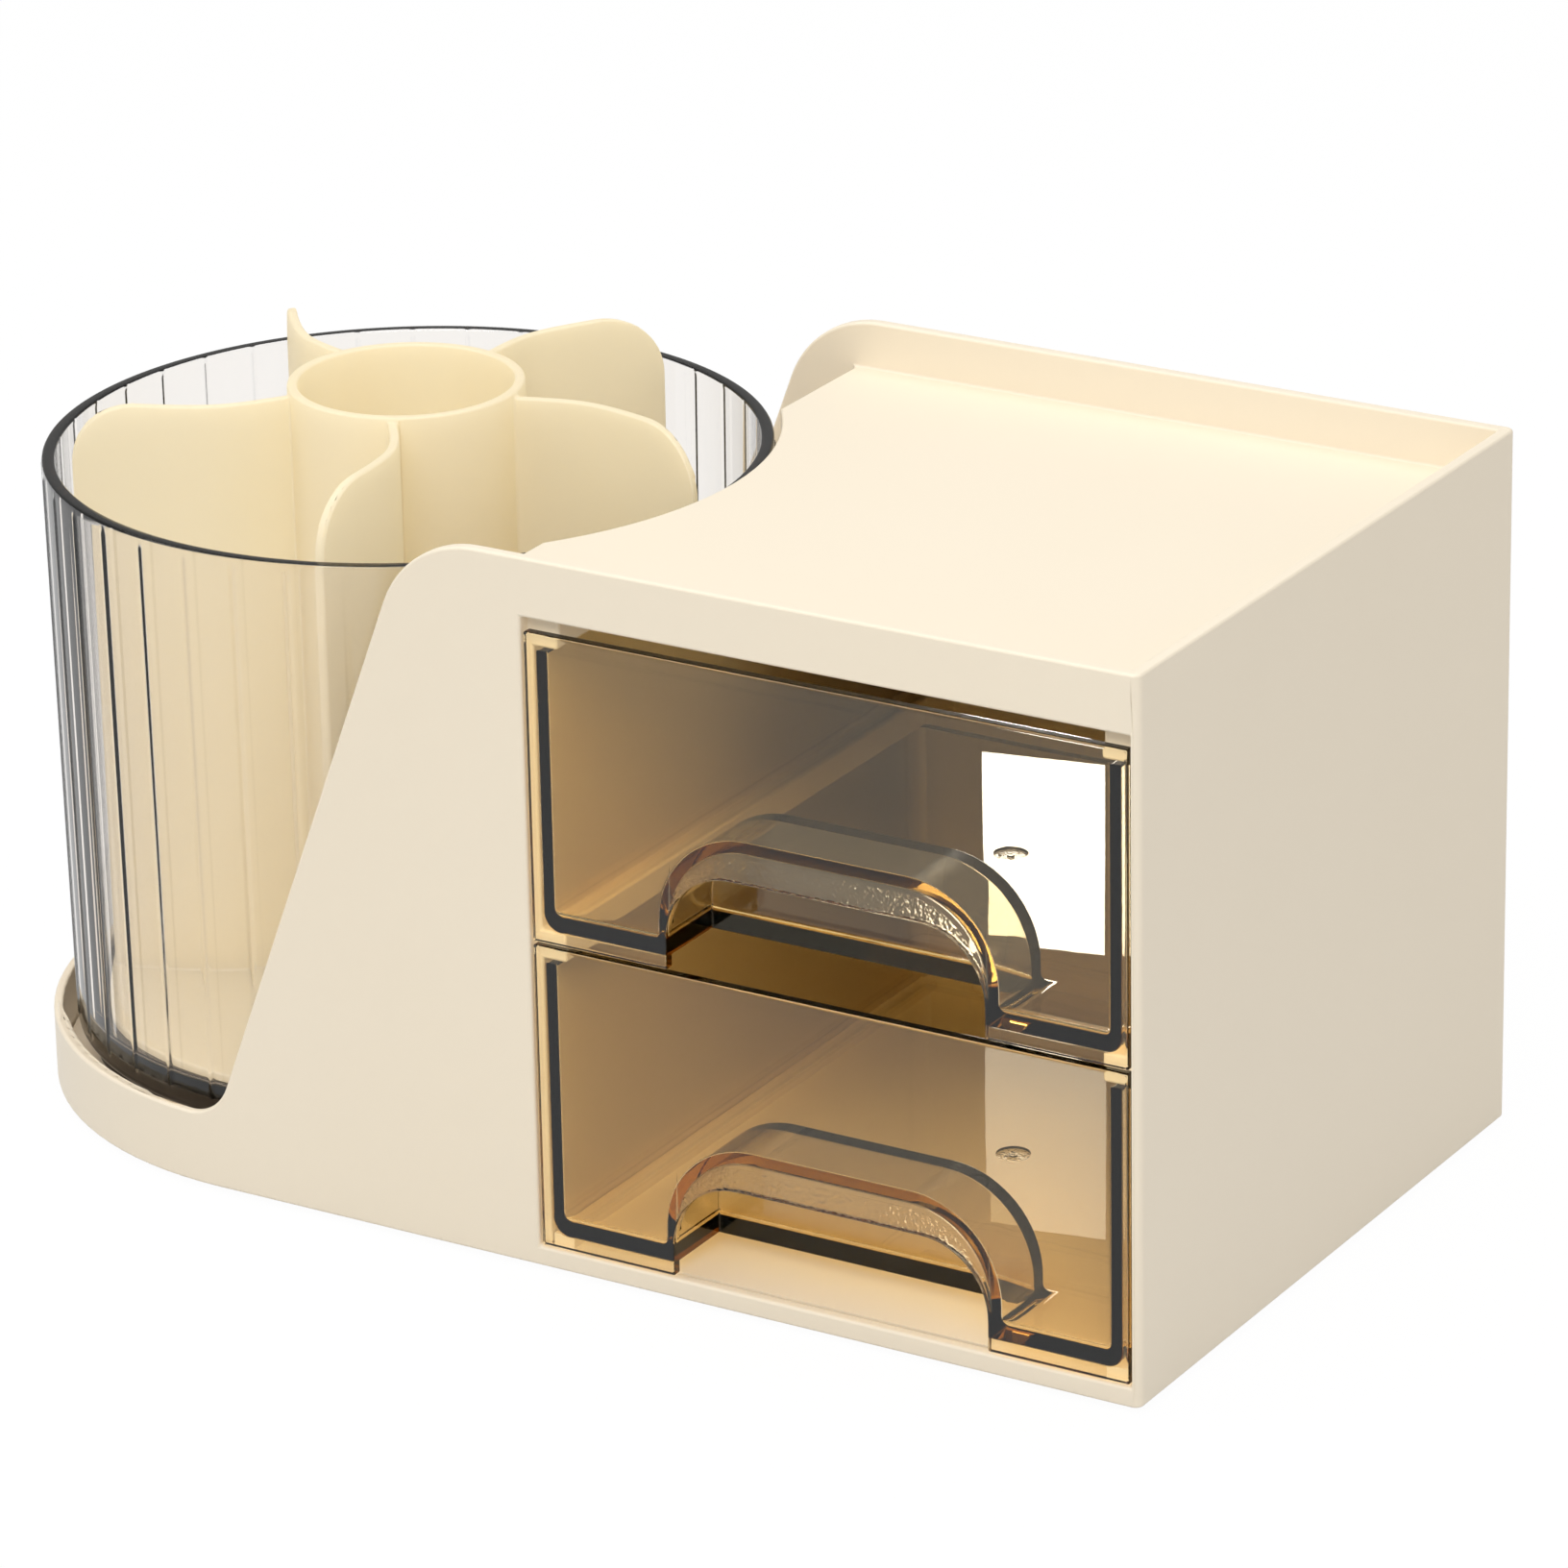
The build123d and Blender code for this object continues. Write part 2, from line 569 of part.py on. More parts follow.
# Drawers: a clear box behind a flat front, with a hooded finger pull in the lower middle
y_box_middle = (y_box_front + y_box_rear) / 2
box_depth = y_box_rear - y_box_front
for name, z_front in (("lower_drawer", z_lower_front), ("upper_drawer", z_upper_front)):
    z_box = z_front + drawer_floor_lift
    z_box_top = z_front + drawer_box_top
    with BuildPart() as drawer:
        with BuildSketch(Plane.XY.offset(z_box)):
            with Locations((x_bay_middle, y_box_middle)):
                Rectangle(drawer_box_width, box_depth)
            rear_corners = vertices().group_by(Axis.Y)[-1]
            fillet(rear_corners, drawer_corner_radius)
        extrude(amount=z_box_top - z_box)
        fillet(drawer.edges().group_by(Axis.Z)[0].filter_by(lambda e: e.center().Y > y_box_front + 0.1),
               drawer_floor_radius)
        with BuildSketch(Plane.XY.offset(z_box + drawer_floor)):
            with Locations((x_bay_middle, y_box_middle - drawer_wall / 2)):
                Rectangle(drawer_box_width - 2 * drawer_wall, box_depth - drawer_wall)
            inner_corners = vertices().group_by(Axis.Y)[-1]
            fillet(inner_corners, drawer_corner_radius - drawer_wall)
        extrude(amount=z_box_top - z_box, mode=Mode.SUBTRACT)
        with BuildSketch(Plane.XZ.offset(-y_box_front)):
            with Locations((x_bay_middle, z_front + front_height / 2)):
                Rectangle(front_width, front_height)
        extrude(amount=front_thickness)
        front_rim = drawer.faces().sort_by(Axis.Y)[0].edges()
        fillet(front_rim, front_round)
        with BuildSketch(Plane.XZ.offset(-y_front - pull_depth - hood_wall)):
            pull_outline(z_box, pull_width + 2 * hood_wall,
                         pull_height + hood_wall - drawer_floor_lift, pull_corner_radius + hood_wall)
        extrude(amount=pull_depth + hood_wall - front_thickness)
        with BuildSketch(Plane.XZ.offset(-y_front - pull_depth)):
            pull_outline(z_front - pull_overrun, pull_width, pull_height + pull_overrun, pull_corner_radius)
        extrude(amount=pull_depth - front_thickness, mode=Mode.SUBTRACT)
        with BuildSketch(Plane.XZ.offset(-y_box_front)):
            pull_outline(z_front - pull_overrun, pull_width, lip_height + pull_overrun, lip_corner_radius)
        extrude(amount=front_thickness, mode=Mode.SUBTRACT)
        with BuildSketch(Plane.XY.offset(z_box + drawer_floor)):
            with Locations((x_bay_middle, y_box_middle)):
                Circle(gate_radius)
        extrude(amount=-gate_depth, mode=Mode.SUBTRACT)
    save(drawer, name)
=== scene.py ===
import bpy
import json
from math import atan2, degrees, hypot, radians
from mathutils import Euler, Matrix, Vector


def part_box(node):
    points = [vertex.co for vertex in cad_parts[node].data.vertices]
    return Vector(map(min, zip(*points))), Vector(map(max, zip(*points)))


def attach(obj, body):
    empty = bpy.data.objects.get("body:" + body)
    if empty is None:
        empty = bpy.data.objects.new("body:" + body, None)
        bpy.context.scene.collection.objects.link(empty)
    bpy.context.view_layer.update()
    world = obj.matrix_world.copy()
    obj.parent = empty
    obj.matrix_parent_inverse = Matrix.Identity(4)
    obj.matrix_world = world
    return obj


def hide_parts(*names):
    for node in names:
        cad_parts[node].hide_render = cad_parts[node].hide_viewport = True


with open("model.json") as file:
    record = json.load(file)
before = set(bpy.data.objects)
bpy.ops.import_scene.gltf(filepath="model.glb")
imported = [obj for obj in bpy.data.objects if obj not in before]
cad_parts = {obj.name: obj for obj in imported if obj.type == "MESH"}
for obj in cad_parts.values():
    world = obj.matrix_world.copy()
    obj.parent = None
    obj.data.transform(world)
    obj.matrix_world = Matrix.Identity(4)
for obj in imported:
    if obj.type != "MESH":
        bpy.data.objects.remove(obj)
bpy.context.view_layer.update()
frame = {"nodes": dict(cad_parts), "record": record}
lowerBox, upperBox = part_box("lower_drawer"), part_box("upper_drawer")
cupBox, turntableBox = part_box("pen_cup"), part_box("turntable")
gateMark = ((lowerBox[0][0] + lowerBox[1][0]) / 2, lowerBox[0][1] + 0.0544)  # x and y, in each drawer
print("frame loaded")

# the camera stands where the photograph was taken; angles in degrees, lens and sensor in mm
cameraLook = {"location": (0.5891, -0.9420, 0.4963), "yaw": 31.33, "pitch": 21.68, "roll": 1.13,
              "lens": 183.4, "sensor": 36.0, "nearest": 0.02, "farthest": 20.0}
cameraData = bpy.data.cameras.new("camera")
cameraData.lens = cameraLook["lens"]
cameraData.sensor_width = cameraLook["sensor"]
cameraData.clip_start = cameraLook["nearest"]
cameraData.clip_end = cameraLook["farthest"]
camera = bpy.data.objects.new("camera", cameraData)
bpy.context.scene.collection.objects.link(camera)
camera.location = cameraLook["location"]
turned = Euler((radians(90 - cameraLook["pitch"]), 0, radians(cameraLook["yaw"]))).to_matrix()
camera.rotation_euler = (turned @ Matrix.Rotation(radians(-cameraLook["roll"]), 3, "Z")).to_euler()
bpy.context.scene.camera = camera
bpy.context.scene.view_settings.view_transform = "Standard"
print("camera placed")


# materials
def newMaterial(name):
    material = bpy.data.materials.new(name)
    material.use_nodes = True
    tree = material.node_tree
    tree.nodes.clear()
    output = tree.nodes.new("ShaderNodeOutputMaterial")
    output.location = (700, 0)
    return material, tree, output


def addNode(tree, kind, place, **values):
    node = tree.nodes.new(kind)
    node.location = place
    for key, value in values.items():
        if key in node.inputs:
            node.inputs[key].default_value = value
        else:
            setattr(node, key, value)
    return node


def satinPlastic(name, look):
    # an opaque moulded skin: a faint cloud in its colour, a fine grain in its gloss and height
    material, tree, output = newMaterial(name)
    link = tree.links.new
    coords = addNode(tree, "ShaderNodeTexCoord", (-1100, 0))
    cloud = addNode(tree, "ShaderNodeTexNoise", (-850, 200),
                    Scale=look["cloudScale"], Detail=3.0, Roughness=0.5)
    grain = addNode(tree, "ShaderNodeTexNoise", (-850, -200),
                    Scale=look["grainScale"], Detail=2.0, Roughness=0.6)
    link(coords.outputs["Object"], cloud.inputs["Vector"])
    link(coords.outputs["Object"], grain.inputs["Vector"])
    tint = addNode(tree, "ShaderNodeValToRGB", (-600, 200))
    tint.color_ramp.elements[0].position = 0.35
    tint.color_ramp.elements[0].color = (*look["shade"], 1)
    tint.color_ramp.elements[1].position = 0.65
    tint.color_ramp.elements[1].color = (*look["colour"], 1)
    link(cloud.outputs["Fac"], tint.inputs["Fac"])
    rough = addNode(tree, "ShaderNodeMapRange", (-600, -100))
    rough.inputs["To Min"].default_value = look["roughness"] - look["roughnessSwing"]
    rough.inputs["To Max"].default_value = look["roughness"] + look["roughnessSwing"]
    link(grain.outputs["Fac"], rough.inputs["Value"])
    bump = addNode(tree, "ShaderNodeBump", (-350, -300),
                   Strength=look["grainStrength"], Distance=look["grainHeight"])
    link(grain.outputs["Fac"], bump.inputs["Height"])
    shader = addNode(tree, "ShaderNodeBsdfPrincipled", (200, 0),
                     IOR=look["ior"], Metallic=look.get("metallic", 0.0))
    link(tint.outputs["Color"], shader.inputs["Base Color"])
    link(rough.outputs["Result"], shader.inputs["Roughness"])
    link(bump.outputs["Normal"], shader.inputs["Normal"])
    if "translucent" in look:
        through = addNode(tree, "ShaderNodeBsdfTranslucent", (200, -400))
        mix = addNode(tree, "ShaderNodeMixShader", (480, 0), Fac=look["translucent"])
        link(tint.outputs["Color"], through.inputs["Color"])
        link(shader.outputs["BSDF"], mix.inputs[1])
        link(through.outputs["BSDF"], mix.inputs[2])
        link(mix.outputs["Shader"], output.inputs["Surface"])
    else:
        link(shader.outputs["BSDF"], output.inputs["Surface"])
    return material


def reckon(tree, operation, first, second=None):
    # one Math node; a socket is linked, a number is written in
    node = tree.nodes.new("ShaderNodeMath")
    node.operation = operation
    for socket, value in zip(node.inputs, (first, second)):
        if isinstance(value, bpy.types.NodeSocket):
            tree.links.new(value, socket)
        elif value is not None:
            socket.default_value = value
    return node.outputs[0]


def square(tree, value):
    return reckon(tree, "POWER", value, 2.0)


def frostedPlaces(tree, coords, look):
    # 1 on a drawer's grip lip and in its gate mark, 0 elsewhere; the two drawers repeat at one pitch
    axes = tree.nodes.new("ShaderNodeSeparateXYZ")
    tree.links.new(coords.outputs["Object"], axes.inputs[0])
    x, y, z = axes.outputs
    height = reckon(tree, "MODULO", reckon(tree, "SUBTRACT", z, look["firstFront"]), look["pitch"])
    fromMiddle = reckon(tree, "SUBTRACT", x, look["middle"])
    # the lip ends where the arch above it does: a box with round upper corners
    aside = reckon(tree, "SUBTRACT", reckon(tree, "ABSOLUTE", fromMiddle),
                   look["gripHalf"] - look["gripRound"])
    above = reckon(tree, "SUBTRACT", height, look["gripTop"] - look["gripRound"])
    sideways = square(tree, reckon(tree, "MAXIMUM", aside, 0.0))
    upwards = square(tree, reckon(tree, "MAXIMUM", above, 0.0))
    reach = reckon(tree, "SQRT", reckon(tree, "ADD", sideways, upwards))
    underArch = reckon(tree, "LESS_THAN", reach, look["gripRound"] - look["gripMargin"])
    lip = reckon(tree, "MULTIPLY", underArch, reckon(tree, "LESS_THAN", y, look["frontFace"]))
    # the gate mark is a round spot sunk in the drawer's floor
    fromMarkY = reckon(tree, "SUBTRACT", y, look["markY"])
    spot = reckon(tree, "SQRT", reckon(tree, "ADD", square(tree, fromMiddle), square(tree, fromMarkY)))
    near = reckon(tree, "LESS_THAN", spot, look["markRadius"])
    below = reckon(tree, "LESS_THAN", height, look["markTop"])
    sunk = reckon(tree, "MULTIPLY", below, reckon(tree, "GREATER_THAN", height, look["markLow"]))
    return reckon(tree, "MAXIMUM", lip, reckon(tree, "MULTIPLY", near, sunk))


def clearPlastic(name, look):
    # a clear moulding that colours light by its depth; shadow rays pass straight through it
    material, tree, output = newMaterial(name)
    link = tree.links.new
    coords = addNode(tree, "ShaderNodeTexCoord", (-1100, 0))
    flow = addNode(tree, "ShaderNodeTexNoise", (-850, -200),
                   Scale=look["flowScale"], Detail=2.0, Roughness=0.5)
    link(coords.outputs["Object"], flow.inputs["Vector"])
    bump = addNode(tree, "ShaderNodeBump", (-350, -300),
                   Strength=look["flowStrength"], Distance=look["flowHeight"])
    link(flow.outputs["Fac"], bump.inputs["Height"])
    rough = addNode(tree, "ShaderNodeMapRange", (-600, -100))
    rough.inputs["To Min"].default_value = look["roughness"] - look["roughnessSwing"]
    rough.inputs["To Max"].default_value = look["roughness"] + look["roughnessSwing"]
    link(flow.outputs["Fac"], rough.inputs["Value"])
    shader = addNode(tree, "ShaderNodeBsdfPrincipled", (0, 0), IOR=look["ior"])
    shader.inputs["Base Color"].default_value = (*look["surface"], 1)
    shader.inputs["Transmission Weight"].default_value = 1.0
    shader.inputs["Specular IOR Level"].default_value = look["shine"]
    roughness, normal = rough.outputs["Result"], bump.outputs["Normal"]
    if "frost" in look:
        frost = look["frost"]
        frosted = frostedPlaces(tree, coords, frost)
        grain = addNode(tree, "ShaderNodeTexNoise", (-850, -500),
                        Scale=frost["grainScale"], Detail=1.0, Roughness=0.5)
        link(coords.outputs["Object"], grain.inputs["Vector"])
        blasted = addNode(tree, "ShaderNodeBump", (-150, -300),
                          Strength=frost["grainStrength"], Distance=frost["grainHeight"])
        link(reckon(tree, "MULTIPLY", grain.outputs["Fac"], frosted), blasted.inputs["Height"])
        link(normal, blasted.inputs["Normal"])
        normal = blasted.outputs["Normal"]
        roughness = reckon(tree, "ADD", roughness, reckon(tree, "MULTIPLY", frosted, frost["roughness"]))
    link(roughness, shader.inputs["Roughness"])
    link(normal, shader.inputs["Normal"])
    passing = addNode(tree, "ShaderNodeBsdfTransparent", (0, -350))
    passing.inputs["Color"].default_value = (*look["shadow"], 1)
    path = addNode(tree, "ShaderNodeLightPath", (0, 350))
    mix = addNode(tree, "ShaderNodeMixShader", (400, 0))
    link(path.outputs["Is Shadow Ray"], mix.inputs["Fac"])
    link(shader.outputs["BSDF"], mix.inputs[1])
    link(passing.outputs["BSDF"], mix.inputs[2])
    link(mix.outputs["Shader"], output.inputs["Surface"])
    inside = addNode(tree, "ShaderNodeVolumeAbsorption", (400, -250), Density=look["density"])
    inside.inputs["Color"].default_value = (*look["absorbed"], 1)
    link(inside.outputs["Volume"], output.inputs["Volume"])
    return material


# finishes by material slot; heights in metres, and a scale counts spots to the metre
finishes = {
    "cream_shell": dict(
        colour=(0.90, 0.812, 0.662), shade=(0.893, 0.804, 0.65), roughness=0.42, roughnessSwing=0.05,
        ior=1.48, cloudScale=14, grainScale=2600, grainStrength=0.12, grainHeight=0.0001),
    "cream_insert": dict(
        colour=(0.995, 0.93, 0.76), shade=(0.99, 0.924, 0.75), roughness=0.38, roughnessSwing=0.05, ior=1.48,
        cloudScale=18, grainScale=2600, grainStrength=0.10, grainHeight=0.0001, translucent=0.5),
    "black_plastic": dict(
        colour=(0.032, 0.023, 0.016), shade=(0.024, 0.017, 0.012), roughness=0.45, roughnessSwing=0.08,
        ior=1.48, cloudScale=20, grainScale=2200, grainStrength=0.3, grainHeight=0.0001),
    "white_plastic": dict(
        colour=(0.80, 0.80, 0.77), shade=(0.76, 0.76, 0.73), roughness=0.40, roughnessSwing=0.05, ior=1.5,
        cloudScale=20, grainScale=2200, grainStrength=0.2, grainHeight=0.0001),
    "foot_rubber": dict(
        colour=(0.55, 0.54, 0.50), shade=(0.50, 0.49, 0.46), roughness=0.65, roughnessSwing=0.08, ior=1.45,
        cloudScale=60, grainScale=1800, grainStrength=0.3, grainHeight=0.0001),
    "steel": dict(
        colour=(0.60, 0.60, 0.62), shade=(0.52, 0.52, 0.54), roughness=0.30, roughnessSwing=0.1, ior=2.5,
        cloudScale=90, grainScale=1500, grainStrength=0.15, grainHeight=0.0001, metallic=1.0),
}
frostLook = dict(
    firstFront=lowerBox[0][2], pitch=upperBox[0][2] - lowerBox[0][2], frontFace=lowerBox[0][1] + 0.0003,
    middle=gateMark[0], gripHalf=0.026, gripRound=0.013, gripTop=0.020, gripMargin=0.0004,
    markY=gateMark[1], markRadius=0.0025, markTop=0.00372, markLow=0.0025,
    grainScale=1500, grainStrength=0.8, grainHeight=0.00025, roughness=0.12)
clearFinishes = {
    "clear_drawer": dict(
        surface=(1, 1, 1), shadow=(1, 1, 1), density=200.0, absorbed=(0.86, 0.65, 0.10), ior=1.49, shine=0.38,
        roughness=0.01, roughnessSwing=0.004, flowScale=60, flowStrength=0.02, flowHeight=0.0005,
        frost=frostLook),
    "clear_cup": dict(
        surface=(1, 1, 1), shadow=(0.95, 0.93, 0.90), density=50.0, absorbed=(0.45, 0.25, 0.03), ior=1.49,
        shine=0.5, roughness=0.01, roughnessSwing=0.004, flowScale=60, flowStrength=0.02, flowHeight=0.0005),
}
materials = {slot: satinPlastic(slot, look) for slot, look in finishes.items()}
materials.update({slot: clearPlastic(slot, look) for slot, look in clearFinishes.items()})
materials["steel_ball"] = materials["steel"]
for part in frame["record"]["subparts"]:
    node = frame["nodes"][part["node"]]
    for holder in node.material_slots:
        holder.material = materials[part["material_slot"]]
print("materials made")


# helpers for the pieces that stand for the plain CAD mouldings
def selectOnly(piece):
    if bpy.context.object and bpy.context.object.mode == "EDIT":
        bpy.ops.object.mode_set(mode="OBJECT")
    bpy.ops.object.select_all(action="DESELECT")
    piece.select_set(True)
    bpy.context.view_layer.objects.active = piece


def mouldingFrom(nodeName, pieceName):
    # a merged copy of the node, its flat faces made whole
    node = frame["nodes"][nodeName]
    piece = bpy.data.objects.new(pieceName, node.data.copy())
    bpy.context.scene.collection.objects.link(piece)
    selectOnly(piece)
    bpy.ops.object.mode_set(mode="EDIT")
    bpy.ops.mesh.select_all(action="SELECT")
    bpy.ops.mesh.remove_doubles(threshold=0.000001)
    bpy.ops.mesh.customdata_custom_splitnormals_clear()
    bpy.ops.mesh.dissolve_limited(angle_limit=radians(0.3), use_dissolve_boundaries=False)
    bpy.ops.mesh.select_all(action="DESELECT")
    bpy.ops.object.mode_set(mode="OBJECT")
    return piece


def selectFaces(piece, wanted):
    # faces picked by a test on their centre and normal, in edit mode
    bpy.ops.mesh.select_mode(type="FACE")
    bpy.ops.mesh.select_all(action="DESELECT")
    bpy.ops.object.mode_set(mode="OBJECT")
    for face in piece.data.polygons:
        face.select = wanted(face.center, face.normal)
    bpy.ops.object.mode_set(mode="EDIT")


def selectPoints(piece, wanted):
    bpy.ops.mesh.select_mode(type="VERT")
    bpy.ops.mesh.select_all(action="DESELECT")
    bpy.ops.object.mode_set(mode="OBJECT")
    for point in piece.data.vertices:
        point.select = wanted(point.co)
    bpy.ops.object.mode_set(mode="EDIT")


def selectSharpEdges(piece, sharpness, wanted):
    # sharp edges picked by a test on their two ends, in edit mode
    bpy.ops.mesh.select_mode(type="EDGE")
    bpy.ops.mesh.select_all(action="DESELECT")
    bpy.ops.mesh.edges_select_sharp(sharpness=radians(sharpness))
    bpy.ops.object.mode_set(mode="OBJECT")
    points = piece.data.vertices
    chosen = [edge.index for edge in piece.data.edges
              if edge.select and wanted(points[edge.vertices[0]].co, points[edge.vertices[1]].co)]
    bpy.ops.object.mode_set(mode="EDIT")
    bpy.ops.mesh.select_all(action="DESELECT")
    bpy.ops.object.mode_set(mode="OBJECT")
    for index in chosen:
        piece.data.edges[index].select = True
    bpy.ops.object.mode_set(mode="EDIT")


def breakEdges(piece, look, wanted=lambda start, end: True):
    # the mould's small rounds, and even shading on the flat faces between them
    selectOnly(piece)
    bpy.ops.object.mode_set(mode="EDIT")
    bpy.ops.mesh.select_all(action="SELECT")
    bpy.ops.mesh.vert_connect_concave()
    selectSharpEdges(piece, look["sharpness"], wanted)
    bpy.ops.mesh.bevel(offset=look["edgeRound"], segments=look["edgeSegments"], profile=0.5,
                       clamp_overlap=False, loop_slide=False)
    bpy.ops.mesh.select_all(action="DESELECT")
    bpy.ops.object.mode_set(mode="OBJECT")
    bpy.ops.object.shade_smooth_by_angle(angle=radians(look["smoothAngle"]))
    even = piece.modifiers.new("evenShading", "WEIGHTED_NORMAL")
    even.keep_sharp = True
    even.weight = 100
    bpy.ops.object.modifier_apply(modifier="evenShading")
    split = piece.modifiers.new("splitFaces", "TRIANGULATE")
    split.quad_method = "BEAUTY"
    split.ngon_method = "BEAUTY"
    split.keep_custom_normals = True
    bpy.ops.object.modifier_apply(modifier="splitFaces")


def standFor(piece, nodeName, body, slot):
    # the dressed piece takes the node's place on its body
    piece.data.materials.clear()
    piece.data.materials.append(materials[slot])
    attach(piece, body)
    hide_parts(nodeName)


# the cabinet with its tray
housingLook = {"sharpness": 40, "edgeRound": 0.0005, "edgeSegments": 3, "smoothAngle": 35}
housing = mouldingFrom("housing", "cabinetMoulding")
breakEdges(housing, housingLook)
standFor(housing, "housing", "base", "cream_shell")

# the divider insert
insertLook = {"sharpness": 40, "edgeRound": 0.0004, "edgeSegments": 3, "smoothAngle": 35}
insert = mouldingFrom("divider_insert", "penDivider")
breakEdges(insert, insertLook)
standFor(insert, "divider_insert", "insert", "cream_insert")

# the two drawers, each with a round floor corner and a gate mark
drawerLook = {"sharpness": 40, "edgeRound": 0.0003, "edgeSegments": 3, "smoothAngle": 35,
              "floorTop": 0.0038, "floorRound": 0.0017, "floorSegments": 6,
              "markRound": 0.0026, "markDepth": 0.0004, "markSearch": 0.0015, "markMargin": 0.004,
              "nubRadius": 0.0006, "nubHeight": 0.00025, "sameHeight": 0.00002}


def fromMark(place):
    return hypot(place.x - gateMark[0], place.y - gateMark[1])


def clearOfMark(start, end):
    return fromMark(start) > drawerLook["markMargin"]


def roundBox(drawer, look, low):
    # the broad round where the drawer's floor meets its walls, then the gate mark's small nub
    selectOnly(drawer)
    bpy.ops.object.mode_set(mode="EDIT")
    floorTop = low + look["floorTop"]

    def onFloor(start, end):
        level = all(abs(place.z - floorTop) < look["sameHeight"] for place in (start, end))
        return level and clearOfMark(start, end)

    selectSharpEdges(drawer, look["sharpness"], onFloor)
    bpy.ops.mesh.bevel(offset=look["floorRound"], segments=look["floorSegments"], profile=0.5,
                       clamp_overlap=False, loop_slide=False)
    markFloor = floorTop - look["markDepth"]

    def onMark(place, normal):
        level = abs(place.z - markFloor) < look["sameHeight"]
        return level and normal.z > 0.9 and fromMark(place) < look["markSearch"]

    selectFaces(drawer, onMark)
    bpy.ops.mesh.inset(thickness=look["markRound"] - look["nubRadius"])
    bpy.ops.mesh.extrude_region_move(TRANSFORM_OT_translate={"value": (0, 0, look["nubHeight"])})
    bpy.ops.object.mode_set(mode="OBJECT")


for name, pieceName in (("lower_drawer", "lowerDrawer"), ("upper_drawer", "upperDrawer")):
    drawer = mouldingFrom(name, pieceName)
    roundBox(drawer, drawerLook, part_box(name)[0][2])
    breakEdges(drawer, drawerLook, clearOfMark)
    standFor(drawer, name, name, "clear_drawer")
print("mouldings made")

# the clear cup, with a rib every nine degrees; a rib is five rows of points wide
cupLook = {"axis": (cupBox[0][0] + cupBox[1][0]) / 2, "low": cupBox[0][2], "top": cupBox[1][2],
           "seat": turntableBox[1][2], "baseRadius": 0.0541, "rimRadius": 0.0551, "wall": 0.002,
           "floorEase": 0.00005, "steps": 1440, "ribCount": 40, "firstRib": 5.75,
           "ribLow": (0.0024, 0.0030), "ribHigh": (0.0018, 0.0012), "ribShape": (0.00024, 0.00017, 0.00005),
           "baseRound": 0.0012, "baseSegments": 5, "cornerRound": 0.0012, "cornerSegments": 5,
           "rimRound": 0.0004, "rimSegments": 4,
           "smoothAngle": 50, "reachIn": 0.0005, "sameHeight": 0.0001}


def ribOffset(place):
    # steps of the cylinder between a point and the nearest rib
    pitch = cupLook["steps"] // cupLook["ribCount"]
    angle = degrees(atan2(place.y, place.x - cupLook["axis"])) - cupLook["firstRib"]
    step = round(angle * cupLook["steps"] / 360) % pitch
    return min(step, pitch - step)


def onOutside(place):
    # true on the cup's outer wall, which leans out from the base's radius
    return hypot(place.x - cupLook["axis"], place.y) > cupLook["baseRadius"] - cupLook["reachIn"]


